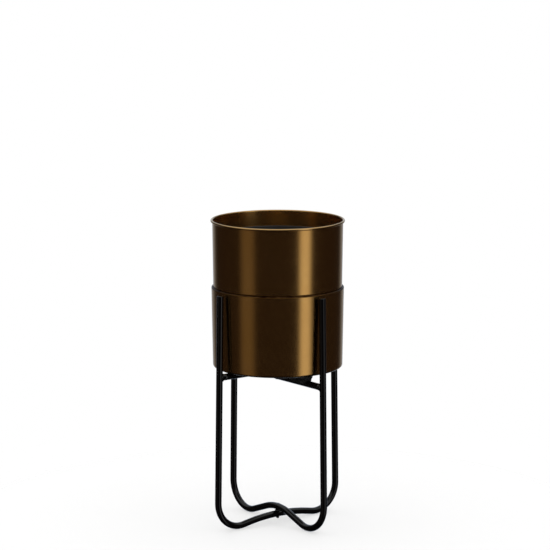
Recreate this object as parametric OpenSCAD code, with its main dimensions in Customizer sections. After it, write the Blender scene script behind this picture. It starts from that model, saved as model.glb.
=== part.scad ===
// Brass planter pot on a folding rod stand.
// The frame's origin is on the floor under the pot's centre, with +Z up.
// The outer frame of the stand lies along X and the inner frame along Y.

/* [Pot] */
// Outside diameter at the top of the lower shell
pot_d = 200; // [190:0.5:202]
// Outside diameter at the foot of the lower shell, before its rounding
base_d = 196; // [186:0.5:198]
// Height of the whole pot
pot_h = 224; // [190:1:270]
// Height of the lower shell
lower_h = 122; // [100:1:150]
// Radius of the rounded edge round the base
base_round = 4; // [3:0.5:12]
// Thickness of the sheet brass
wall = 1; // [0.8:0.1:1.6]
// How far the collar is set in from the lower shell
seam_step = 2.8; // [2:0.1:4]
// Length of collar tucked down inside the lower shell
collar_tuck = 10; // [6:1:20]
// Outside diameter of the collar just under its rim
collar_top_d = 197; // [190:0.5:199]
// Diameter of the rolled bead round the rim
rim_bead_d = 3.6; // [3:0.2:6]

/* [Liner] */
// Depth of the liner's lip below the rim of the pot
liner_drop = 24; // [15:1:40]
// Outside diameter at the liner's base
liner_base_d = 170; // [150:1:176]
// Outside diameter of the liner just under its lip
liner_top_d = 188; // [180:1:189]
// Thickness of the liner's wall
liner_wall = 1.6; // [1.2:0.1:2.4]
// Thickness of the liner's floor
liner_floor = 2; // [1.5:0.1:3]
// Radius of the rounded edge round the liner's base
liner_round = 10; // [6:1:16]
// Diameter of the rounded lip round the top of the liner
liner_lip_d = 3.6; // [2.6:0.2:4.4]

/* [Stand] */
// Diameter of the rod
rod_d = 10; // [8:0.5:11]
// Width across the outsides of two opposite legs, at the floor
stand_span = 237; // [232:1:250]
// Lean of each leg towards the pot
leg_lean = 0.9; // [0.3:0.1:0.9]
// Height of the leg ends
leg_top = 362; // [320:1:400]
// Height of the underside of the pot
seat_h = 243; // [200:1:280]
// Bend radius between leg and foot, on the rod's centreline
foot_bend = 40; // [30:1:48]
// Rise of the outer rod from its feet to its middle
outer_rise = 7.4; // [7:0.2:10]
// Slope of the outer rod between foot and middle
outer_slope = 10; // [9.5:0.5:12]
// Slope of the inner rod between foot and middle
inner_slope = 20; // [19.5:0.5:24]
// Chamfer at the leg ends
leg_chamfer = 1.5; // [0.5:0.5:2.5]

/* [Pivots] */
// Diameter of the two pivot rivets
rivet_d = 4; // [3:0.5:4.5]
// Diameter of the rivets' sunk heads
rivet_head_d = 6.6; // [6:0.2:7.2]
// Thickness of the rivets' sunk heads
rivet_head_h = 1.6; // [1.2:0.2:2]
// Height of the closed rivet end below the lower crossing
rivet_end_h = 2.6; // [1:0.2:4]
// Thickness of the nylon washers between the rods
washer_t = 0.8; // [0.6:0.1:1.2]
// Outside diameter of the washers
washer_d = 9; // [8:0.5:10]

/* [Levelling pads] */
// Distance from the pot's centre to the near end of each pad
pad_near = 37; // [36:1:42]
// Distance from the pot's centre to the far end of each pad
pad_far = 80; // [60:1:88]
// Width of the pads
pad_w = 13; // [12.6:0.2:15]
// Chamfer along the top edges of the pads
pad_chamfer = 1.5; // [0.5:0.5:2.5]

/* [Hidden] */

$fn = 96;
eps = 0.01;          // sink of a cutting tool past the face that it opens
rest_gap = 0.3;      // air left between two bodies that rest on each other
pin_play = 0.05;     // radial play of a frame round its rivet
cope_play = 0.1;      // extra radius of the copes in the crossbar ends
band_h = 0.8;        // height of the hairline bands on the rods
band_proud = 0.02;   // how far the bands stand out

brass_colour = [0.74, 0.47, 0.17];
coat_colour = [0.06, 0.06, 0.065];
rubber_colour = [0.09, 0.09, 0.09];
liner_colour = [0.13, 0.13, 0.13];
nylon_colour = [0.2, 0.2, 0.2];

pot_z = seat_h + rest_gap;
seam_z = pot_z + lower_h;
rim_z = pot_z + pot_h;
seam_r = pot_d / 2;
collar_r = seam_r - seam_step;
base_lean = atan((pot_d - base_d) / 2 / lower_h);

rod_r = rod_d / 2;
leg_r = stand_span / 2 - rod_r;                      // leg centreline, carried down to the floor
bend_z = rod_r + foot_bend;                          // height of the bend's centre
bend_x = leg_r - bend_z * tan(leg_lean) - foot_bend / cos(leg_lean);
leg_foot_z = bend_z + foot_bend * sin(leg_lean);     // where the straight leg starts
leg_foot_x = bend_x + foot_bend * cos(leg_lean);
leg_len = (leg_top - leg_foot_z) / cos(leg_lean);

pivot_gap = washer_t + rest_gap;                     // air between the crossing rods
outer_mid_z = rod_r + outer_rise;
inner_mid_z = outer_mid_z + rod_d + pivot_gap;
outer_bar_z = seat_h - rod_r;
inner_bar_z = outer_bar_z - rod_d - pivot_gap;

bore_d = rivet_d + 2 * pin_play;
sink_d = rivet_head_d + 0.8;
sink_h = rivet_head_h + rest_gap;
press_depth = 8;                                     // depth of the upper rivet in the outer crossbar

function leg_x(z) = leg_r - z * tan(leg_lean);

// Filled half section of a cup: floor at z0, wall from foot_r up to top_r at z1, floor edge rounded.
module cup_section(foot_r, top_r, z0, z1, edge) {
    lean = atan((top_r - foot_r) / (z1 - z0));
    edge_x = foot_r + edge * tan(lean) - edge / cos(lean);
    polygon([
        [0, z0],
        [edge_x, z0],
        [edge_x + edge * cos(lean), z0 + edge * (1 - sin(lean))],
        [top_r, z1],
        [0, z1]
    ]);
    translate([edge_x, z0 + edge]) circle(r = edge);
}

// Lower half of the pot: spun cup whose top edge is turned in to meet the collar.
module lower_shell() {
    turn_z = seam_z - seam_step;
    turn_r = seam_r - seam_step * tan(base_lean);
    color(brass_colour) rotate_extrude() intersection() {
        difference() {
            union() {
                cup_section(base_d / 2, turn_r, pot_z, turn_z, base_round);
                translate([0, turn_z - eps]) square([turn_r - seam_step, seam_step + eps]);
                translate([turn_r - seam_step, turn_z]) circle(r = seam_step);
            }
            cup_section(base_d / 2 - wall, turn_r - wall, pot_z + wall, turn_z, base_round - wall);
            translate([0, turn_z - eps]) square([collar_r, seam_step + 2 * eps]);
            translate([turn_r - seam_step, turn_z]) circle(r = seam_step - wall);
        }
        translate([0, pot_z - eps]) square([pot_d, pot_h]);
    }
}

// Upper half of the pot: rolled sheet collar with a beaded rim.
module upper_collar() {
    foot_z = seam_z - collar_tuck;
    bead_r = rim_bead_d / 2;
    top_r = collar_top_d / 2;
    color(brass_colour) rotate_extrude() {
        polygon([
            [collar_r - wall, foot_z],
            [collar_r, foot_z],
            [collar_r, seam_z],
            [top_r, rim_z - bead_r],
            [top_r - wall, rim_z - bead_r],
            [collar_r - wall, seam_z]
        ]);
        translate([top_r + bead_r - wall, rim_z - bead_r]) circle(r = bead_r);
    }
}

// Watertight plastic liner that lifts out of the pot.
module liner() {
    floor_z = pot_z + wall + rest_gap;
    top_z = rim_z - liner_drop;
    lip_r = liner_lip_d / 2;
    color(liner_colour) rotate_extrude() {
        difference() {
            cup_section(liner_base_d / 2, liner_top_d / 2, floor_z, top_z - lip_r, liner_round);
            cup_section(liner_base_d / 2 - liner_wall, liner_top_d / 2 - liner_wall,
                floor_z + liner_floor, top_z - lip_r + eps, liner_round - liner_wall);
            translate([-liner_base_d, floor_z - eps]) square([liner_base_d, pot_h]);
        }
        translate([liner_top_d / 2, top_z - lip_r]) circle(r = lip_r);
    }
}

// Arc of rod in the XZ plane, round a centre, from one angle through a sweep.
module rod_arc(centre_x, centre_z, radius, from, sweep) {
    trim = band_h / 4 / radius * 180 / PI;
    translate([centre_x, 0, centre_z]) rotate([90, 0, 0]) rotate([0, 0, from + trim])
        rotate_extrude(angle = sweep - 2 * trim) translate([radius, 0]) circle(r = rod_r);
}

// Hairline band round the rod where a straight stretch meets a bend, so that the two fuse cleanly.
module band() {
    translate([0, 0, -band_h / 2]) cylinder(r = rod_r + band_proud, h = band_h);
}

// One leg, its bend and the sloping run to the middle, on the +X side.
module frame_side(slope, middle_x) {
    bend_end_x = bend_x - foot_bend * sin(slope);
    bend_end_z = bend_z - foot_bend * cos(slope);
    run_len = (bend_end_x - middle_x) / cos(slope);
    translate([leg_foot_x, 0, leg_foot_z]) rotate([0, -leg_lean, 0]) {
        band();
        translate([0, 0, band_h / 4]) cylinder(r = rod_r, h = leg_len - leg_chamfer - band_h / 4);
        translate([0, 0, leg_len - leg_chamfer])
            cylinder(r1 = rod_r, r2 = rod_r - leg_chamfer, h = leg_chamfer);
    }
    rod_arc(bend_x, bend_z, foot_bend, -90 - slope, 90 + slope + leg_lean);
    translate([bend_end_x, 0, bend_end_z]) rotate([0, slope - 90, 0]) {
        band();
        translate([0, 0, band_h / 4]) cylinder(r = rod_r, h = run_len - band_h / 2);
        translate([0, 0, run_len]) band();
    }
}

// One U-shaped frame: two legs and a foot rod that rises to its middle.
// The arc over the middle is the one that meets both slopes smoothly.
module bent_frame(slope, middle_z) {
    run_x = bend_x - foot_bend * sin(slope);
    run_z = bend_z - foot_bend * cos(slope);
    crown = (run_x * tan(slope) + run_z - middle_z) * cos(slope) / (1 - cos(slope));
    middle_x = crown * sin(slope);
    frame_side(slope, middle_x);
    mirror([1, 0, 0]) frame_side(slope, middle_x);
    rod_arc(0, middle_z - crown, crown, 90 - slope, 2 * slope);
}

// Straight bar under the pot, coped to the two legs that it is welded to.
// The cope is a shade wider than a leg, and touches it along its inner side.
module crossbar(height) {
    reach = leg_x(height);
    difference() {
        translate([-reach, 0, height]) rotate([0, 90, 0]) cylinder(r = rod_r, h = 2 * reach);
        for (side = [0, 1]) mirror([side, 0, 0])
            translate([reach + cope_play, 0, height]) rotate([0, -leg_lean, 0])
                cylinder(r = rod_r + cope_play, h = 4 * rod_d, center = true);
    }
}

module outer_frame() {
    color(coat_colour) difference() {
        bent_frame(outer_slope, outer_mid_z);
        translate([0, 0, outer_mid_z - rod_d]) cylinder(d = bore_d, h = 2 * rod_d);
    }
}

module outer_crossbar() {
    color(coat_colour) difference() {
        crossbar(outer_bar_z);
        translate([0, 0, outer_bar_z - rod_d]) cylinder(d = rivet_d, h = rod_r + press_depth);
    }
}

module inner_frame() {
    color(coat_colour) rotate([0, 0, 90]) difference() {
        bent_frame(inner_slope, inner_mid_z);
        translate([0, 0, inner_mid_z - rod_d]) cylinder(d = bore_d, h = 2 * rod_d);
        translate([0, 0, inner_mid_z + rod_r - sink_h]) cylinder(d = sink_d, h = rod_d);
    }
}

module inner_crossbar() {
    color(coat_colour) rotate([0, 0, 90]) difference() {
        crossbar(inner_bar_z);
        translate([0, 0, inner_bar_z - rod_d]) cylinder(d = bore_d, h = 2 * rod_d);
        translate([0, 0, inner_bar_z - 2 * rod_d]) cylinder(d = sink_d, h = 2 * rod_d - rod_r + sink_h);
    }
}

// Rubber saddle that brings the lower bar up to the height of the upper one.
module levelling_pad() {
    pad_top = seat_h - inner_bar_z;
    color(rubber_colour) translate([0, pad_far, inner_bar_z]) rotate([90, 0, 0])
        linear_extrude(height = pad_far - pad_near) difference() {
            polygon([
                [-pad_w / 2, 0],
                [pad_w / 2, 0],
                [pad_w / 2, pad_top - pad_chamfer],
                [pad_w / 2 - pad_chamfer, pad_top],
                [pad_chamfer - pad_w / 2, pad_top],
                [-pad_w / 2, pad_top - pad_chamfer]
            ]);
            circle(r = rod_r);
        }
}

module levelling_pad_front() {
    mirror([0, 1, 0]) levelling_pad();
}

module levelling_pad_back() {
    levelling_pad();
}

// Rivet of the lower crossing: head sunk in the inner rod, closed end under the outer rod.
module lower_rivet() {
    top = inner_mid_z + rod_r - sink_h + rest_gap;
    bottom = outer_mid_z - rod_r;
    end_d = rivet_d + 1;
    color(coat_colour) {
        translate([0, 0, bottom - eps]) cylinder(d = rivet_d, h = top - bottom + 2 * eps);
        translate([0, 0, top]) cylinder(d = rivet_head_d, h = rivet_head_h);
        translate([0, 0, bottom - rivet_end_h])
            cylinder(d1 = rivet_d - 1, d2 = end_d, h = rivet_end_h);
    }
}

// Rivet of the upper crossing: pressed into the outer bar, head sunk under the inner bar.
module upper_rivet() {
    bottom = inner_bar_z - rod_r + sink_h - rest_gap;
    top = outer_bar_z - rod_d + rod_r + press_depth;
    color(coat_colour) {
        translate([0, 0, bottom - eps]) cylinder(d = rivet_d, h = top - bottom + eps);
        translate([0, 0, bottom - rivet_head_h]) cylinder(d = rivet_head_d, h = rivet_head_h);
    }
}

module washer(base_z) {
    color(nylon_colour) translate([0, 0, base_z]) difference() {
        cylinder(d = washer_d, h = washer_t);
        translate([0, 0, -eps]) cylinder(d = bore_d, h = washer_t + 2 * eps);
    }
}

module lower_washer() {
    washer(outer_mid_z + rod_r);
}

module upper_washer() {
    washer(outer_bar_z - rod_r - washer_t);
}

lower_shell();
upper_collar();
liner();
outer_frame();
outer_crossbar();
inner_frame();
inner_crossbar();
levelling_pad_front();
levelling_pad_back();
lower_rivet();
lower_washer();
upper_rivet();
upper_washer();
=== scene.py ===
"""Looks for the brass planter pot on its folding rod stand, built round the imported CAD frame.

Everything is in metres, with the floor at z = 0 and the pot's centre line on the Z axis.
"""
import math
import random

import bpy
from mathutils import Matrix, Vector


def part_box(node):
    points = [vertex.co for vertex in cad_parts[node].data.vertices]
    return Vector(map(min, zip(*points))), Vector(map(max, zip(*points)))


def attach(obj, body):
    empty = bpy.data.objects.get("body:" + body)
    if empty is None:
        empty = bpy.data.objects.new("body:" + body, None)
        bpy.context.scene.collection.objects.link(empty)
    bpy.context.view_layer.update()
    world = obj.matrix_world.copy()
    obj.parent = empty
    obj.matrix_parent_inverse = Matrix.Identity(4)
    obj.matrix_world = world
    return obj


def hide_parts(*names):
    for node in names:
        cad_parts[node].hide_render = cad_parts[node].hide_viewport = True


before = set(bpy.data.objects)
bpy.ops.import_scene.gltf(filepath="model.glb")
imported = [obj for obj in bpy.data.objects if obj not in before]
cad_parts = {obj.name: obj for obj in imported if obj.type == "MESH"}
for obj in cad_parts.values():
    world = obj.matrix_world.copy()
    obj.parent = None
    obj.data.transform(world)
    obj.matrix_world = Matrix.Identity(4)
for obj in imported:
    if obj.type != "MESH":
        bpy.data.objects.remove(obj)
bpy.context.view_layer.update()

MM = 0.001

# Driving sizes that the boxes of the CAD nodes don't give.
WALL = 1.0 * MM            # sheet brass
BASE_D = 196 * MM          # lower shell at its foot, before the rounding
POT_D = 200 * MM           # lower shell at the seam
SEAM_STEP = 2.8 * MM       # how far the collar is set in
BASE_ROUND = 4 * MM        # rounding round the base
COLLAR_TOP_D = 197 * MM    # collar under the bead
BEAD_D = 3.6 * MM          # rolled bead round the rim
LINER_BASE_D = 170 * MM
LINER_TOP_D = 188 * MM
LINER_WALL = 1.6 * MM
LINER_FLOOR = 2.0 * MM
LINER_ROUND = 10 * MM
LINER_LIP_D = 3.6 * MM
LEG_LEAN = math.radians(0.9)      # each leg leans in this much towards its top
LEG_ROUND = 1.5 * MM       # rounding round the leg ends
FOOT_BEND = 40 * MM        # bend radius on the rod's centre line
OUTER_SLOPE = math.radians(10)    # how steeply each foot rises to the middle
INNER_SLOPE = math.radians(20)
STAND_SPAN = 237 * MM      # across two opposite legs, carried down to the floor
WELD_R = 0.95 * MM         # weld bead round each crossbar end
WELD_RIPPLES = 21
PAD_EASE = 0.45 * MM       # eased edge round the pads' ends
PAD_UNDERCUT = 8 * MM      # how far the pads' outer end leans in, down to the bar
PAD_GROOVE = 0.6 * MM      # depth of the groove along each side of a pad
PAD_GROOVE_LOW, PAD_GROOVE_HIGH = 5.5 * MM, 8.1 * MM    # its edges above the bar's axis
SHANK_R = 2.0 * MM         # both rivets
HEAD_H = 1.6 * MM
END_R, END_H = 2.5 * MM, 2.6 * MM  # closed end under the lower rivet's rods
WASHER_HOLE_R = 2.05 * MM
WASHER_EASE = 0.15 * MM

# Colours, linear.
BRASS_DEEP, BRASS_PALE = (0.77, 0.425, 0.128), (0.82, 0.47, 0.150)
BRASS_RUBBED = (0.86, 0.60, 0.28)
# painted shade: a dark brown laid into the seam's crevice, over the shoulder below it, and round
# the base edge
PAINTED_SHADE = (0.055, 0.022, 0.008)
COAT_DEEP, COAT_PALE = (0.0006, 0.0006, 0.0007), (0.0013, 0.0013, 0.0014)
COAT_DUST, COAT_RUBBED = (0.035, 0.034, 0.032), (0.03, 0.03, 0.03)
RUBBER_DEEP, RUBBER_CHALKY = (0.004, 0.004, 0.004), (0.012, 0.0118, 0.0115)
LINER_DEEP, LINER_PALE = (0.014, 0.014, 0.0145), (0.022, 0.022, 0.0225)
CHALK = (0.16, 0.155, 0.145)
NYLON_DEEP, NYLON_PALE = (0.013, 0.013, 0.014), (0.026, 0.026, 0.027)

# The camera: its place round the pot, and where it aims.
CAMERA_AZIMUTH = math.radians(-37.7)
CAMERA_REACH = 4.0         # level distance from the pot's centre line
CAMERA_HEIGHT = 1.066
CAMERA_AIM = 0.3822        # height on the centre line
CAMERA_LENS = 176.2
CAMERA_SENSOR = 36.0
CAMERA_SHIFT = -0.0049  # of the frame's width: the pot stands a little right of its middle


# ---------------------------------------------------------------- mesh helpers

def fillet_path(corners, steps=10):
    """(r, z) points along a path whose corners (r, z, radius) are rounded by arcs."""
    points = []
    for i, (r, z, radius) in enumerate(corners):
        here = Vector((r, z))
        if radius <= 0 or i in (0, len(corners) - 1):
            points.append(here)
            continue
        back = Vector(corners[i - 1][:2]) - here
        ahead = Vector(corners[i + 1][:2]) - here
        half = back.angle(ahead) / 2
        reach = min(radius / math.tan(half), 0.499 * back.length, 0.499 * ahead.length)
        radius = reach * math.tan(half)
        start, end = here + back.normalized() * reach, here + ahead.normalized() * reach
        inwards = (back.normalized() + ahead.normalized()).normalized()
        centre = here + inwards * radius / math.sin(half)
        a, b = start - centre, end - centre
        sweep = a.angle_signed(b)
        for k in range(steps + 1):
            turn = -sweep * k / steps
            c, s = math.cos(turn), math.sin(turn)
            points.append(centre + Vector((a.x * c - a.y * s, a.x * s + a.y * c)))
    return points


def new_piece(name, verts, faces, body, slot_name, material, *nodes):
    """A smooth mesh that rides on a body and stands for its CAD nodes."""
    mesh = bpy.data.meshes.new(name)
    mesh.from_pydata([tuple(v) for v in verts], [], faces)
    mesh.validate()
    mesh.update()
    mesh.shade_smooth()
    piece = bpy.data.objects.new(name, mesh)
    bpy.context.scene.collection.objects.link(piece)
    mesh.materials.append(material)
    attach(piece, body)
    if nodes:
        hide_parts(*nodes)
    return piece


def skin(rings, close_ends=False):
    """Faces between closed rings of equal length. close_ends joins the last ring to the first."""
    n = len(rings[0])
    pairs = [(i, i + 1) for i in range(len(rings) - 1)]
    if close_ends:
        pairs.append((len(rings) - 1, 0))
    return [(a * n + k, a * n + (k + 1) % n, b * n + (k + 1) % n, b * n + k)
            for a, b in pairs for k in range(n)]


def lathe(profile, segments, closed=False, ripple=None):
    """Verts and faces of (r, z) points turned round Z. A point at r = 0 becomes one vertex."""
    verts, rows = [], []
    for r, z in profile:
        if r < 1e-7:
            rows.append([len(verts)] * segments)
            verts.append((0, 0, z))
            continue
        row = []
        for k in range(segments):
            angle = 2 * math.pi * k / segments
            reach = r + (ripple(angle, z) if ripple else 0)
            row.append(len(verts))
            verts.append((reach * math.cos(angle), reach * math.sin(angle), z))
        rows.append(row)
    faces = []
    pairs = list(zip(rows, rows[1:])) + ([(rows[-1], rows[0])] if closed else [])
    for low, high in pairs:
        for k in range(segments):
            n = (k + 1) % segments
            loop = []
            for v in (low[k], low[n], high[n], high[k]):
                if v not in loop:
                    loop.append(v)
            if len(loop) > 2:
                faces.append(tuple(loop))
    return verts, faces


def tube(path, across, radii, ring=36):
    """Verts and faces of a rod with closed ends, along a flat path whose normal is across."""
    rings = []
    count = len(path)
    for i, centre in enumerate(path):
        along = (path[min(i + 1, count - 1)] - path[max(i - 1, 0)]).normalized()
        side = along.cross(across)
        rings.append([centre + (across * math.cos(t) + side * math.sin(t)) * radii[i]
                      for t in (2 * math.pi * k / ring for k in range(ring))])
    verts = [v for r in rings for v in r]
    faces = skin(rings)
    first, last = len(verts), len(verts) + 1
    verts += [path[0], path[-1]]
    base = (count - 1) * ring
    faces += [(first, (k + 1) % ring, k) for k in range(ring)]
    faces += [(last, base + k, base + (k + 1) % ring) for k in range(ring)]
    return verts, faces


def merge(*parts):
    """One list of verts and faces out of several."""
    verts, faces = [], []
    for v, f in parts:
        base = len(verts)
        verts += v
        faces += [tuple(i + base for i in face) for face in f]
    return verts, faces


def rounded_end(path, radii, radius, steps=6):
    """Adds a rounded edge to both ends of a straight-ended rod path."""
    for at_start in (True, False):
        tip = path[0] if at_start else path[-1]
        inner = path[1] if at_start else path[-2]
        along = (tip - inner).normalized()
        full = radii[0] if at_start else radii[-1]
        extra, sizes = [], []
        for k in range(steps + 1):
            t = math.pi / 2 * k / steps
            extra.append(tip + along * (math.sin(t) - 1) * radius)
            sizes.append(full - radius * (1 - math.cos(t)))
        if at_start:
            path[0:1], radii[0:1] = extra[::-1], sizes[::-1]
        else:
            path[-1:], radii[-1:] = extra, sizes
    return path, radii


# ---------------------------------------------------------------- materials

def add(tree, kind, inputs=None, **settings):
    """A shader node with its settings and unlinked inputs; a socket as a value is linked."""
    node = tree.nodes.new(kind)
    for key, value in settings.items():
        setattr(node, key, value)
    for key, value in (inputs or {}).items():
        if isinstance(value, bpy.types.NodeSocket):
            tree.links.new(value, node.inputs[key])
        else:
            node.inputs[key].default_value = value
    return node


def stretched_noise(tree, scale, detail=3.0, rough=0.5, distortion=0.0):
    """Noise over the object's own coordinates, with its scale along X, Y and Z per metre."""
    place = add(tree, "ShaderNodeTexCoord").outputs["Object"]
    spread = add(tree, "ShaderNodeMapping", {"Vector": place, "Scale": scale}).outputs["Vector"]
    noise = add(tree, "ShaderNodeTexNoise", {
        "Vector": spread, "Scale": 1.0, "Detail": detail,
        "Roughness": rough, "Distortion": distortion})
    return noise.outputs["Fac"]


def remap(tree, value, low, high, to_low, to_high, smooth=False):
    """value from low..high to to_low..to_high, clamped."""
    node = add(tree, "ShaderNodeMapRange", {
        "Value": value, "From Min": low, "From Max": high, "To Min": to_low, "To Max": to_high})
    if smooth:
        node.interpolation_type = "SMOOTHSTEP"
    return node.outputs["Result"]


def math_node(tree, operation, a, b=0.0):
    return add(tree, "ShaderNodeMath", {0: a, 1: b}, operation=operation).outputs[0]


def blend_colour(tree, factor, a, b, mode="MIX"):
    node = add(tree, "ShaderNodeMix", {0: factor}, data_type="RGBA", blend_type=mode)
    for socket, value in ((node.inputs[6], a), (node.inputs[7], b)):
        if isinstance(value, bpy.types.NodeSocket):
            tree.links.new(value, socket)
        else:
            socket.default_value = (*value, 1.0)
    return node.outputs[2]


def height_mask(tree, z, half_width, soft):
    """1 within half_width of height z, fading to 0 over soft."""
    place = add(tree, "ShaderNodeTexCoord").outputs["Object"]
    up = add(tree, "ShaderNodeSeparateXYZ", {0: place}).outputs["Z"]
    off = math_node(tree, "ABSOLUTE", math_node(tree, "SUBTRACT", up, z))
    return remap(tree, off, half_width, half_width + soft, 1.0, 0.0, smooth=True)


def new_material(name, **uniform):
    """A material with a Principled shader whose uniform values are set on its own sockets."""
    material = bpy.data.materials.new(name)
    material.use_nodes = True
    shader = material.node_tree.nodes["Principled BSDF"]
    for key, value in uniform.items():
        shader.inputs[key.replace("_", " ")].default_value = value
    return material, material.node_tree, shader


def set_bump(tree, shader, layers):
    """Stacks (height, strength, distance) layers of bump onto a shader."""
    normal = None
    for height, strength, distance in layers:
        inputs = {"Height": height, "Strength": strength, "Distance": distance}
        if normal:
            inputs["Normal"] = normal
        normal = add(tree, "ShaderNodeBump", inputs).outputs["Normal"]
    tree.links.new(normal, shader.inputs["Normal"])


def brass_material(name, foot_z, seam_z, rim_z, back_seam=False):
    """Satin brass: fine lines round the pot, mottling, painted shade at the seam and at the base
    edge, a rubbed rim.
    """
    material, tree, shader = new_material(
        name, Metallic=1.0, Anisotropic=0.6, Anisotropic_Rotation=0.25)
    lines = stretched_noise(tree, (14, 14, 5200), detail=4, rough=0.6)
    coarse_lines = stretched_noise(tree, (9, 9, 1300), detail=2)
    mottle = stretched_noise(tree, (22, 22, 14), detail=4, rough=0.55, distortion=0.6)
    smudge = stretched_noise(tree, (48, 48, 34), detail=5, rough=0.62, distortion=1.2)
    base = blend_colour(tree, remap(tree, mottle, 0.3, 0.72, 0, 1), BRASS_DEEP, BRASS_PALE)
    # Painted shade: the seam's crevice and the shoulder just below it are darkened in patches
    # towards the dark brown, and the brass is rougher there.
    seam_shade = height_mask(tree, seam_z + 0.5 * MM, 1.3 * MM, 0.9 * MM)
    patchy_seam_shade = math_node(tree, "MULTIPLY", seam_shade, remap(tree, smudge, 0.3, 0.65, 0.75, 1.0))
    base = blend_colour(tree, patchy_seam_shade, base, PAINTED_SHADE)
    place = add(tree, "ShaderNodeTexCoord").outputs["Object"]
    level = add(tree, "ShaderNodeVectorMath", {0: place, 1: (1, 1, 0)}, operation="MULTIPLY")
    reach = add(tree, "ShaderNodeVectorMath", {0: level.outputs["Vector"]}, operation="LENGTH")
    # Painted shade: the base's outer rounding is darkened towards the same dark brown, less so
    # further in underneath.
    outwards = remap(tree, reach.outputs["Value"], 82 * MM, 93 * MM, 0.25, 1.0, smooth=True)
    base_edge_shade = math_node(tree, "MULTIPLY", height_mask(tree, foot_z, 1.2 * MM, 2.2 * MM), outwards)
    base = blend_colour(tree, math_node(tree, "MULTIPLY", base_edge_shade, 0.85), base, PAINTED_SHADE)
    rim = height_mask(tree, rim_z, 1.2 * MM, 1.5 * MM)
    base = blend_colour(tree, math_node(tree, "MULTIPLY", rim, 0.5), base, BRASS_RUBBED)
    tree.links.new(base, shader.inputs["Base Color"])
    rough = remap(tree, smudge, 0.25, 0.75, 0.205, 0.26)
    streak = remap(tree, coarse_lines, 0.3, 0.7, -0.012, 0.015)
    rough = math_node(tree, "ADD", rough, streak)
    rough = math_node(tree, "ADD", rough, math_node(tree, "MULTIPLY", patchy_seam_shade, 0.22))
    tree.links.new(rough, shader.inputs["Roughness"])
    tangent = add(tree, "ShaderNodeTangent", direction_type="RADIAL", axis="Z").outputs["Tangent"]
    tree.links.new(tangent, shader.inputs["Tangent"])
    layers = [(lines, 0.04, 0.02 * MM), (coarse_lines, 0.03, 0.04 * MM), (mottle, 0.03, 0.25 * MM)]
    if back_seam:              # a hairline down the +Y side only, where the sheet's ends meet
        split = add(tree, "ShaderNodeSeparateXYZ", {0: place})
        off = math_node(tree, "ABSOLUTE", split.outputs["X"])
        groove = remap(tree, off, 0.25 * MM, 0.9 * MM, 0.0, 1.0, smooth=True)
        behind = remap(tree, split.outputs["Y"], 0.0, 5 * MM, 1.0, 0.0)
        layers.append((math_node(tree, "MAXIMUM", groove, behind), 0.8, 0.25 * MM))
    set_bump(tree, shader, layers)
    return material


def coat_material(name, wear_z=None, wear_half=0.0):
    """Satin black powder coat: orange peel, faint dust, and rubbed where something rests on it."""
    material, tree, shader = new_material(name, IOR=1.6)
    peel = stretched_noise(tree, (950, 950, 950), detail=2, rough=0.45)
    cloud = stretched_noise(tree, (60, 60, 60), detail=4, rough=0.6)
    speck = stretched_noise(tree, (2600, 2600, 2600), detail=1)
    base = blend_colour(tree, remap(tree, cloud, 0.3, 0.7, 0, 1), COAT_DEEP, COAT_PALE)
    base = blend_colour(tree, remap(tree, speck, 0.76, 0.82, 0.0, 0.25), base, COAT_DUST)
    rough = remap(tree, cloud, 0.3, 0.7, 0.055, 0.085)
    if wear_z is not None:
        rub = math_node(tree, "MULTIPLY", height_mask(tree, wear_z, wear_half, 1.2 * MM),
                        remap(tree, cloud, 0.42, 0.60, 0.0, 1.0))
        base = blend_colour(tree, math_node(tree, "MULTIPLY", rub, 0.4), base, COAT_RUBBED)
        rough = math_node(tree, "SUBTRACT", rough, math_node(tree, "MULTIPLY", rub, 0.03))
    tree.links.new(base, shader.inputs["Base Color"])
    tree.links.new(rough, shader.inputs["Roughness"])
    set_bump(tree, shader, [(peel, 0.015, 0.05 * MM), (cloud, 0.006, 0.4 * MM)])
    return material


def rubber_material(name):
    """Matt black moulded rubber, a little chalky."""
    material, tree, shader = new_material(name, IOR=1.48)
    grain = stretched_noise(tree, (1500, 1500, 1500), detail=3, rough=0.6)
    bloom = stretched_noise(tree, (130, 130, 130), detail=4, rough=0.65)
    base = blend_colour(tree, remap(tree, bloom, 0.35, 0.75, 0, 1), RUBBER_DEEP, RUBBER_CHALKY)
    tree.links.new(base, shader.inputs["Base Color"])
    tree.links.new(remap(tree, bloom, 0.3, 0.7, 0.62, 0.82), shader.inputs["Roughness"])
    set_bump(tree, shader, [(grain, 0.3, 0.1 * MM)])
    return material


def liner_material(name, floor_z):
    """Fine-grained black plastic with flow marks and a faint chalky tide line near its floor."""
    material, tree, shader = new_material(name, IOR=1.49)
    grain = stretched_noise(tree, (2200, 2200, 2200), detail=2, rough=0.5)
    flow = stretched_noise(tree, (26, 26, 8), detail=3, rough=0.5, distortion=0.8)
    chalk = stretched_noise(tree, (210, 210, 320), detail=5, rough=0.7)
    base = blend_colour(tree, remap(tree, flow, 0.3, 0.7, 0, 1), LINER_DEEP, LINER_PALE)
    tide = math_node(tree, "MULTIPLY", height_mask(tree, floor_z + 16 * MM, 1.5 * MM, 5 * MM),
                     remap(tree, chalk, 0.46, 0.62, 0.0, 0.4))
    base = blend_colour(tree, tide, base, CHALK)
    tree.links.new(base, shader.inputs["Base Color"])
    rough = math_node(tree, "ADD", remap(tree, flow, 0.3, 0.7, 0.44, 0.56),
                      math_node(tree, "MULTIPLY", tide, 0.4))
    tree.links.new(rough, shader.inputs["Roughness"])
    set_bump(tree, shader, [(grain, 0.35, 0.06 * MM), (flow, 0.06, 0.5 * MM)])
    return material


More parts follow.
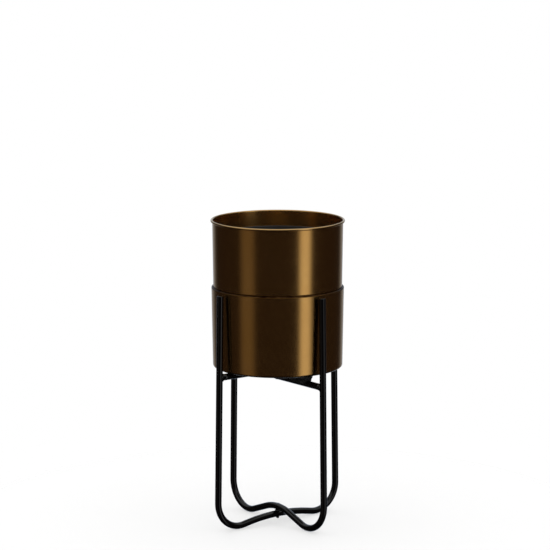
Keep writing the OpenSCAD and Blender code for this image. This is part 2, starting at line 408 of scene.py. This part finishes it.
def nylon_material(name):
    """Black nylon, slightly glossy."""
    material, tree, shader = new_material(name, IOR=1.53)
    cloud = stretched_noise(tree, (420, 420, 420), detail=3)
    base = blend_colour(tree, cloud, NYLON_DEEP, NYLON_PALE)
    tree.links.new(base, shader.inputs["Base Color"])
    tree.links.new(remap(tree, cloud, 0.3, 0.7, 0.38, 0.52), shader.inputs["Roughness"])
    set_bump(tree, shader, [(cloud, 0.2, 0.05 * MM)])
    return material


# ---------------------------------------------------------------- the pot

def hand_ripple(seed, count, depth):
    """Very slight unevenness of rolled sheet, as a function of angle and height."""
    rng = random.Random(seed)
    waves = [(rng.randint(2, 9), rng.uniform(0, 2 * math.pi),
              rng.uniform(12, 42), rng.uniform(0, 2 * math.pi)) for _ in range(count)]

    def ripple(angle, z):
        total = sum(math.cos(n * angle + a) * math.cos(k * z + b) for n, a, k, b in waves)
        return depth * total / count
    return ripple


shell_lo, shell_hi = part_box("lower_shell")
collar_lo, collar_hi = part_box("upper_collar")
liner_lo, liner_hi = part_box("liner")
foot_z, seam_z, rim_z = shell_lo.z, shell_hi.z, collar_hi.z
collar_r = POT_D / 2 - SEAM_STEP
POT_SEGMENTS = 256

brass = brass_material("brass_lower", foot_z, seam_z, rim_z)
brass_collar = brass_material("brass_collar", foot_z, seam_z, rim_z, back_seam=True)


def make_lower_shell():
    top_r, base_r = POT_D / 2, BASE_D / 2
    corners = [
        (0, foot_z, 0),
        (base_r, foot_z, BASE_ROUND),
        (top_r, seam_z, SEAM_STEP * 0.9),
        (collar_r + 0.08 * MM, seam_z, 0.3 * MM),
        (collar_r + 0.08 * MM, seam_z - WALL, 0.2 * MM),
        (top_r - WALL, seam_z - WALL, SEAM_STEP * 0.55),
        (base_r - WALL, foot_z + WALL, BASE_ROUND - WALL),
        (0, foot_z + WALL, 0),
    ]
    path = fillet_path(corners)
    profile = subdivide(path, 12 * MM)
    wave = hand_ripple(11, 6, 0.05 * MM)

    def ripple(angle, z):      # none near the base and the seam
        return wave(angle, z) * max(0, min(1, (z - foot_z) / (25 * MM), (seam_z - z) / (12 * MM)))

    verts, faces = lathe(profile, POT_SEGMENTS, ripple=ripple)
    return new_piece("brass_lower_shell", verts, faces, "pot", "brass", brass, "lower_shell")


def subdivide(path, longest, hold=0.35 * MM):
    """The path with its straight stretches cut up, and held near both ends for crisp shading."""
    out = [path[0]]
    for a, b in zip(path, path[1:]):
        length = (b - a).length
        if length > 4 * hold:
            cuts = max(1, math.ceil(length / longest))
            out.append(a.lerp(b, hold / length))
            out += [a.lerp(b, k / cuts) for k in range(1, cuts)]
            out.append(b.lerp(a, hold / length))
        out.append(b)
    return [(p.x, p.y) for p in out]


def make_collar():
    top_r, bead_r = COLLAR_TOP_D / 2, BEAD_D / 2
    bead_x, bead_z = top_r + bead_r - WALL, rim_z - bead_r
    meet = math.acos(max(-1, (top_r - bead_x) / bead_r))
    curl = [Vector((bead_x + bead_r * math.cos(t), bead_z + bead_r * math.sin(t)))
            for t in (-meet + (math.pi + meet) * k / 24 for k in range(25))]
    outer = [Vector((collar_r - WALL, collar_lo.z)), Vector((collar_r, collar_lo.z)),
             Vector((collar_r, seam_z))]
    inner = [Vector((collar_r - WALL, seam_z))]
    profile = subdivide(outer + curl + inner, 12 * MM)
    wave = hand_ripple(29, 6, 0.06 * MM)

    def ripple(angle, z):      # none near the seam and the rim
        return wave(angle, z) * max(0, min(1, (z - seam_z) / (20 * MM), (rim_z - z) / (14 * MM)))

    verts, faces = lathe(profile, POT_SEGMENTS, closed=True, ripple=ripple)
    return new_piece("brass_collar", verts, faces, "pot", "brass", brass_collar, "upper_collar")


def make_liner():
    base_r, top_r = LINER_BASE_D / 2, LINER_TOP_D / 2
    lip_r = LINER_LIP_D / 2
    low, high = liner_lo.z, liner_hi.z
    corners = [
        (0, low, 0),
        (base_r, low, LINER_ROUND),
        (top_r, high - LINER_LIP_D, 0.6 * MM),
        (top_r + lip_r, high - LINER_LIP_D, 0.8 * MM),
        (top_r + lip_r, high, 1.4 * MM),
        (top_r - LINER_WALL, high, 1.2 * MM),
        (base_r - LINER_WALL, low + LINER_FLOOR, LINER_ROUND - LINER_WALL),
        (30 * MM, low + LINER_FLOOR, 0),
        (6 * MM, low + LINER_FLOOR, 0.2 * MM),
        (5 * MM, low + LINER_FLOOR + 0.4 * MM, 0.3 * MM),
        (0, low + LINER_FLOOR + 0.4 * MM, 0),
    ]
    verts, faces = lathe(subdivide(fillet_path(corners), 15 * MM), 192)
    return new_piece("plastic_liner", verts, faces, "pot_liner", "liner_plastic",
                     liner_material("liner_plastic", low + LINER_FLOOR), "liner")


# ---------------------------------------------------------------- the stand

outer_lo, outer_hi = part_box("outer_crossbar")
inner_lo, inner_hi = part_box("inner_crossbar")
rod_r = (outer_hi.z - outer_lo.z) / 2
leg_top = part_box("outer_frame")[1].z
leg_r = STAND_SPAN / 2 - rod_r


def leg_x(z):
    return leg_r - z * math.tan(LEG_LEAN)


def frame_path(slope, middle_z):
    """Points (u, z) from one leg end, through both feet, to the other leg end."""
    # Each foot bend runs into a straight slope, and an arc of radius crown joins the two slopes.
    bend_z = rod_r + FOOT_BEND
    bend_x = leg_x(bend_z) - FOOT_BEND / math.cos(LEG_LEAN)
    run_x, run_z = bend_x - FOOT_BEND * math.sin(slope), bend_z - FOOT_BEND * math.cos(slope)
    crown = (run_x * math.tan(slope) + run_z - middle_z) * math.cos(slope) / (1 - math.cos(slope))
    half = [(leg_x(leg_top), leg_top)]
    foot_top = bend_z + FOOT_BEND * math.sin(LEG_LEAN)
    half += [(leg_x(z), z) for z in (leg_top - (leg_top - foot_top) * k / 8 for k in range(1, 8))]
    for k in range(33):
        t = LEG_LEAN - (LEG_LEAN + math.pi / 2 + slope) * k / 32
        half.append((bend_x + FOOT_BEND * math.cos(t), bend_z + FOOT_BEND * math.sin(t)))
    for k in range(13):
        t = slope * (1 - k / 12)
        half.append((crown * math.sin(t), middle_z - crown * (1 - math.cos(t))))
    return half + [(-u, z) for u, z in half[-2::-1]]


def place(u, v, z, along_y):
    """A point u along the frame, v across it."""
    return Vector((v, u, z)) if along_y else Vector((u, v, z))


def weld_bead(side, height, along_y, seed):
    """Rippled bead where a crossbar meets a leg. side is 1 or -1."""
    rng = random.Random(seed)
    steps, ring = 84, 10
    centre, sizes = [], []
    for k in range(steps):
        t = 2 * math.pi * k / steps
        ripple = 1 + 0.10 * math.sin(WELD_RIPPLES * t + rng.uniform(-0.3, 0.3))
        reach = rod_r + 0.35 * MM
        v, z = reach * math.cos(t), height + reach * math.sin(t)
        u = leg_x(z) - math.sqrt((1.12 * rod_r) ** 2 - v ** 2)
        centre.append(place(side * u, v, z, along_y))
        sizes.append(WELD_R * ripple)
    rings = []
    axis, bar = place(0, 0, height, along_y), place(1, 0, 0, along_y)
    for k in range(steps):
        along = (centre[(k + 1) % steps] - centre[k - 1]).normalized()
        out = centre[k] - axis
        out -= bar * out.dot(bar)
        out = (out - along * out.dot(along)).normalized()
        cross = along.cross(out)
        rings.append([centre[k] + (out * math.cos(a) + cross * math.sin(a)) * sizes[k]
                      for a in (2 * math.pi * j / ring for j in range(ring))])
    return [v for r in rings for v in r], skin(rings, close_ends=True)


def make_frame(name, node, body, slope, middle_z, along_y, material):
    path = [place(u, 0, z, along_y) for u, z in frame_path(slope, middle_z)]
    radii = [rod_r] * len(path)
    path, radii = rounded_end(path, radii, LEG_ROUND)
    verts, faces = tube(path, place(0, 1, 0, along_y), radii)
    return new_piece(name, verts, faces, body, "black_coat", material, node)


def make_crossbar(name, node, body, height, along_y, seed, material):
    reach = leg_x(height) - 0.8 * rod_r
    cuts = 24
    path = [place(-reach + 2 * reach * k / cuts, 0, height, along_y) for k in range(cuts + 1)]
    bar = tube(path, place(0, 1, 0, along_y), [rod_r] * len(path))
    beads = [weld_bead(side, height, along_y, seed + side) for side in (-1, 1)]
    verts, faces = merge(bar, *beads)
    return new_piece(name, verts, faces, body, "black_coat", material, node)


def make_pad(name, node, material):
    """Rubber saddle on the lower bar: eased edges, a groove in each side, a leaning outer end."""
    lo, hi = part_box(node)
    near, far = sorted((lo.y, hi.y), key=abs)
    bar_z = (inner_lo.z + inner_hi.z) / 2
    half_w, top = (hi.x - lo.x) / 2, hi.z
    ease = PAD_EASE
    low, high, ramp = bar_z + PAD_GROOVE_LOW, bar_z + PAD_GROOVE_HIGH, 0.7 * MM
    corners = [(-rod_r, bar_z, 0), (-half_w, bar_z, 0.4 * MM)]
    side = [(-half_w, low, 0.3 * MM), (-half_w + PAD_GROOVE, low + ramp, 0.3 * MM),
            (-half_w + PAD_GROOVE, high - ramp, 0.3 * MM), (-half_w, high, 0.3 * MM),
            (-half_w, top, 1.7 * MM)]
    corners += side
    corners += [(-x, z, r) for x, z, r in side[::-1]]
    corners += [(half_w, bar_z, 0.4 * MM), (rod_r, bar_z, 0)]
    outline = fillet_path(corners, steps=5)
    outline += [Vector((rod_r * math.cos(t), bar_z + rod_r * math.sin(t)))
                for t in (math.pi * k / 20 for k in range(1, 20))]
    middle = Vector((0, (bar_z + top) / 2 + 2 * MM))
    rings = []
    stations = [(lo.y, ease), (lo.y + 0.3 * ease, 0.3 * ease), (lo.y + ease, 0),
                (hi.y - ease, 0), (hi.y - 0.3 * ease, 0.3 * ease), (hi.y, ease)]
    for y, shrink in stations:
        ring = []
        for p in outline:
            inward = (middle - p).normalized() * shrink
            if (p - Vector((0, bar_z))).length < rod_r * 1.01:
                inward = Vector((0, 0))
            depth = min(1, (top - p.y) / (top - bar_z))
            lean = (near - far) * PAD_UNDERCUT / (hi.y - lo.y) * depth * (y - near) / (far - near)
            ring.append(Vector((p.x + inward.x, y + lean, p.y + inward.y)))
        rings.append(ring)
    n = len(outline)
    verts = [v for r in rings for v in r]
    faces = skin(rings)
    faces += [tuple(reversed(range(n))), tuple(range((len(rings) - 1) * n, len(rings) * n))]
    piece = new_piece(name, verts, faces, "inner_stand", "pad_rubber", material, node)
    piece.data.set_sharp_from_angle(angle=math.radians(50))
    return piece


def make_turned(name, node, body, slot_name, corners, material, closed=False):
    """A small turned part, such as a rivet or washer."""
    path = fillet_path(corners, steps=6)
    verts, faces = lathe([(p.x, p.y) for p in path], 64, closed=closed)
    piece = new_piece(name, verts, faces, body, slot_name, material, node)
    piece.data.set_sharp_from_angle(angle=math.radians(60))
    return piece


def make_stand():
    outer_bar_z = (outer_lo.z + outer_hi.z) / 2
    inner_bar_z = (inner_lo.z + inner_hi.z) / 2
    outer_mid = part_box("lower_washer")[0].z - rod_r      # the rod's axis where the feet cross
    inner_mid = outer_mid + (outer_bar_z - inner_bar_z)
    legs = coat_material("black_coat_legs", wear_z=0.0, wear_half=0.6 * MM)
    outer_bar = coat_material("black_coat_outer_bar", wear_z=outer_hi.z, wear_half=0.4 * MM)
    inner_bar = coat_material("black_coat_inner_bar")
    make_frame("stand_outer_rod", "outer_frame", "outer_stand",
               OUTER_SLOPE, outer_mid, False, legs)
    make_frame("stand_inner_rod", "inner_frame", "inner_stand",
               INNER_SLOPE, inner_mid, True, legs)
    make_crossbar("stand_outer_crossbar", "outer_crossbar", "outer_stand",
                  outer_bar_z, False, 5, outer_bar)
    make_crossbar("stand_inner_crossbar", "inner_crossbar", "inner_stand",
                  inner_bar_z, True, 9, inner_bar)

    rubber = rubber_material("pad_rubber")
    make_pad("rubber_pad_front", "levelling_pad_front", rubber)
    make_pad("rubber_pad_back", "levelling_pad_back", rubber)

    rivet_coat = coat_material("rivet_coat")
    lo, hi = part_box("lower_rivet")
    head = (hi.x - lo.x) / 2
    make_turned("lower_pivot_rivet", "lower_rivet", "outer_stand", "rivet_steel", [
        (0, lo.z + 0.35 * MM, 0), (0.8 * MM, lo.z + 0.3 * MM, 0.4 * MM),
        (1.4 * MM, lo.z, 0.3 * MM), (2.3 * MM, lo.z + 1.0 * MM, 0.5 * MM),
        (END_R, lo.z + END_H - 0.1 * MM, 0.2 * MM), (SHANK_R, lo.z + END_H, 0.1 * MM),
        (SHANK_R, hi.z - HEAD_H, 0.1 * MM), (head, hi.z - HEAD_H, 0.2 * MM),
        (head, hi.z - 0.3 * MM, 0.5 * MM), (0, hi.z, 0)], rivet_coat)
    lo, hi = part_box("upper_rivet")
    make_turned("upper_pivot_rivet", "upper_rivet", "outer_stand", "rivet_steel", [
        (0, lo.z, 0), (head, lo.z + 0.3 * MM, 0.5 * MM), (head, lo.z + HEAD_H, 0.2 * MM),
        (SHANK_R, lo.z + HEAD_H, 0.1 * MM), (SHANK_R, hi.z, 0.3 * MM), (0, hi.z, 0)],
        rivet_coat)

    nylon = nylon_material("nylon")
    for name, node in (("lower_pivot_washer", "lower_washer"),
                       ("upper_pivot_washer", "upper_washer")):
        lo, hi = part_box(node)
        outside, hole, ease = (hi.x - lo.x) / 2, WASHER_HOLE_R, WASHER_EASE
        middle = (lo.z + hi.z) / 2
        corners = [(hole, middle, 0), (hole, lo.z, ease), (outside, lo.z, ease),
                   (outside, hi.z, ease), (hole, hi.z, ease), (hole, middle + 0.01 * MM, 0)]
        make_turned(name, node, "outer_stand", "nylon", corners, nylon, closed=True)


# ---------------------------------------------------------------- studio

FLOOR_R, FLOOR_FADE_FROM = 0.75, 0.25


def make_floor():
    """A plain white floor that fades into the white surroundings."""
    verts, faces = lathe([(0, 0), (FLOOR_R * 0.5, 0), (FLOOR_R, 0)], 96)
    mesh = bpy.data.meshes.new("floor")
    mesh.from_pydata(verts, [], faces)
    floor = bpy.data.objects.new("floor", mesh)
    bpy.context.scene.collection.objects.link(floor)
    floor.location.z = -0.02 * MM      # just clear of the feet
    material, tree, shader = new_material("floor_white", Roughness=0.9)
    shader.inputs["Base Color"].default_value = (0.97, 0.97, 0.97, 1)
    shader.inputs["Specular IOR Level"].default_value = 0.0
    place_on = add(tree, "ShaderNodeTexCoord").outputs["Object"]
    reach = add(tree, "ShaderNodeVectorMath", {0: place_on}, operation="LENGTH").outputs["Value"]
    fade = remap(tree, reach, FLOOR_FADE_FROM, FLOOR_R * 0.98, 0.5, 1.0, smooth=True)
    clear = add(tree, "ShaderNodeBsdfTransparent").outputs[0]
    mixed = add(tree, "ShaderNodeMixShader", {0: fade, 1: shader.outputs[0], 2: clear}).outputs[0]
    tree.links.new(mixed, tree.nodes["Material Output"].inputs["Surface"])
    mesh.materials.append(material)
    floor.visible_glossy = False


# The studio that the glossy surfaces see. Turns are in degrees to the right of the camera. Each
# soft light is even over its half width and fades out over its soft edge.
ROOM = (0.02, 0.015, 0.015)
LIGHTS = [                     # turn, half width, soft edge, light
    (50, 5, 10, (0.65, 0.65, 0.65)),
    (-55, 5, 15, (0.12, 0.10, 0.08)),
]
BACKDROP = (0.50, 0.60, 0.75)
BACKDROP_FROM = 135            # where the backdrop behind the object starts, on either side
OVERHEAD = (0.55, 0.55, 0.55)  # soft light from above
SOFT_LIGHT = 1.08              # soft white light on matt surfaces
FROM_BELOW = 0.12              # how much of the surroundings is left towards straight down


def make_surroundings():
    """White for sight and soft light, and a darker studio with two tall soft lights for gloss."""
    world = bpy.data.worlds.new("studio")
    bpy.context.scene.world = world
    world.use_nodes = True
    world.cycles.sampling_method = "NONE"
    tree = world.node_tree
    tree.nodes.clear()
    facing = add(tree, "ShaderNodeTexCoord").outputs["Generated"]
    turned = add(tree, "ShaderNodeMapping", {
        "Vector": facing, "Rotation": (0, 0, math.pi / 2 - CAMERA_AZIMUTH)}).outputs["Vector"]
    around = add(tree, "ShaderNodeTexGradient", {0: turned}, gradient_type="RADIAL").outputs["Fac"]
    from_front = math_node(tree, "ABSOLUTE", math_node(tree, "SUBTRACT", around, 0.5))
    behind = remap(tree, from_front, BACKDROP_FROM / 360, 0.5, 0.0, 1.0, smooth=True)
    studio = blend_colour(tree, behind, ROOM, BACKDROP)
    for turn, half_width, soft_edge, light in LIGHTS:
        off = math_node(tree, "ABSOLUTE", math_node(tree, "SUBTRACT", around, 0.5 + turn / 360))
        shine = remap(tree, off, half_width / 360, (half_width + soft_edge) / 360, 1.0, 0.0,
                      smooth=True)
        studio = blend_colour(tree, shine, studio, light)
    up = add(tree, "ShaderNodeSeparateXYZ", {0: facing}).outputs["Z"]
    below = remap(tree, up, -0.85, -0.45, FROM_BELOW, 1.0, smooth=True)
    sides = blend_colour(tree, 1.0, studio, below, mode="MULTIPLY")
    above = remap(tree, up, 0.30, 0.75, 0.0, 1.0, smooth=True)
    gloss = blend_colour(tree, above, sides, OVERHEAD)
    ray = add(tree, "ShaderNodeLightPath")
    colour = blend_colour(tree, ray.outputs["Is Glossy Ray"], (1.0, 1.0, 1.0), gloss)
    diffuse = math_node(tree, "MULTIPLY", ray.outputs["Is Diffuse Ray"], SOFT_LIGHT - 1.0)
    strength = math_node(tree, "ADD", diffuse, 1.0)
    back = add(tree, "ShaderNodeBackground", {"Color": colour, "Strength": strength}).outputs[0]
    out = add(tree, "ShaderNodeOutputWorld")
    tree.links.new(back, out.inputs["Surface"])


def make_camera():
    lens = bpy.data.cameras.new("camera")
    lens.lens, lens.sensor_width = CAMERA_LENS, CAMERA_SENSOR
    lens.clip_end = 50
    camera = bpy.data.objects.new("camera", lens)
    bpy.context.scene.collection.objects.link(camera)
    bpy.context.scene.camera = camera
    camera.location = (CAMERA_REACH * math.sin(CAMERA_AZIMUTH),
                       -CAMERA_REACH * math.cos(CAMERA_AZIMUTH), CAMERA_HEIGHT)
    aim = Vector((0, 0, CAMERA_AIM)) - camera.location
    camera.rotation_euler = aim.to_track_quat("-Z", "Y").to_euler()
    lens.shift_x = CAMERA_SHIFT


make_lower_shell()
make_collar()
make_liner()
make_stand()
make_floor()
make_surroundings()
make_camera()
bpy.context.scene.view_settings.view_transform = "Standard"
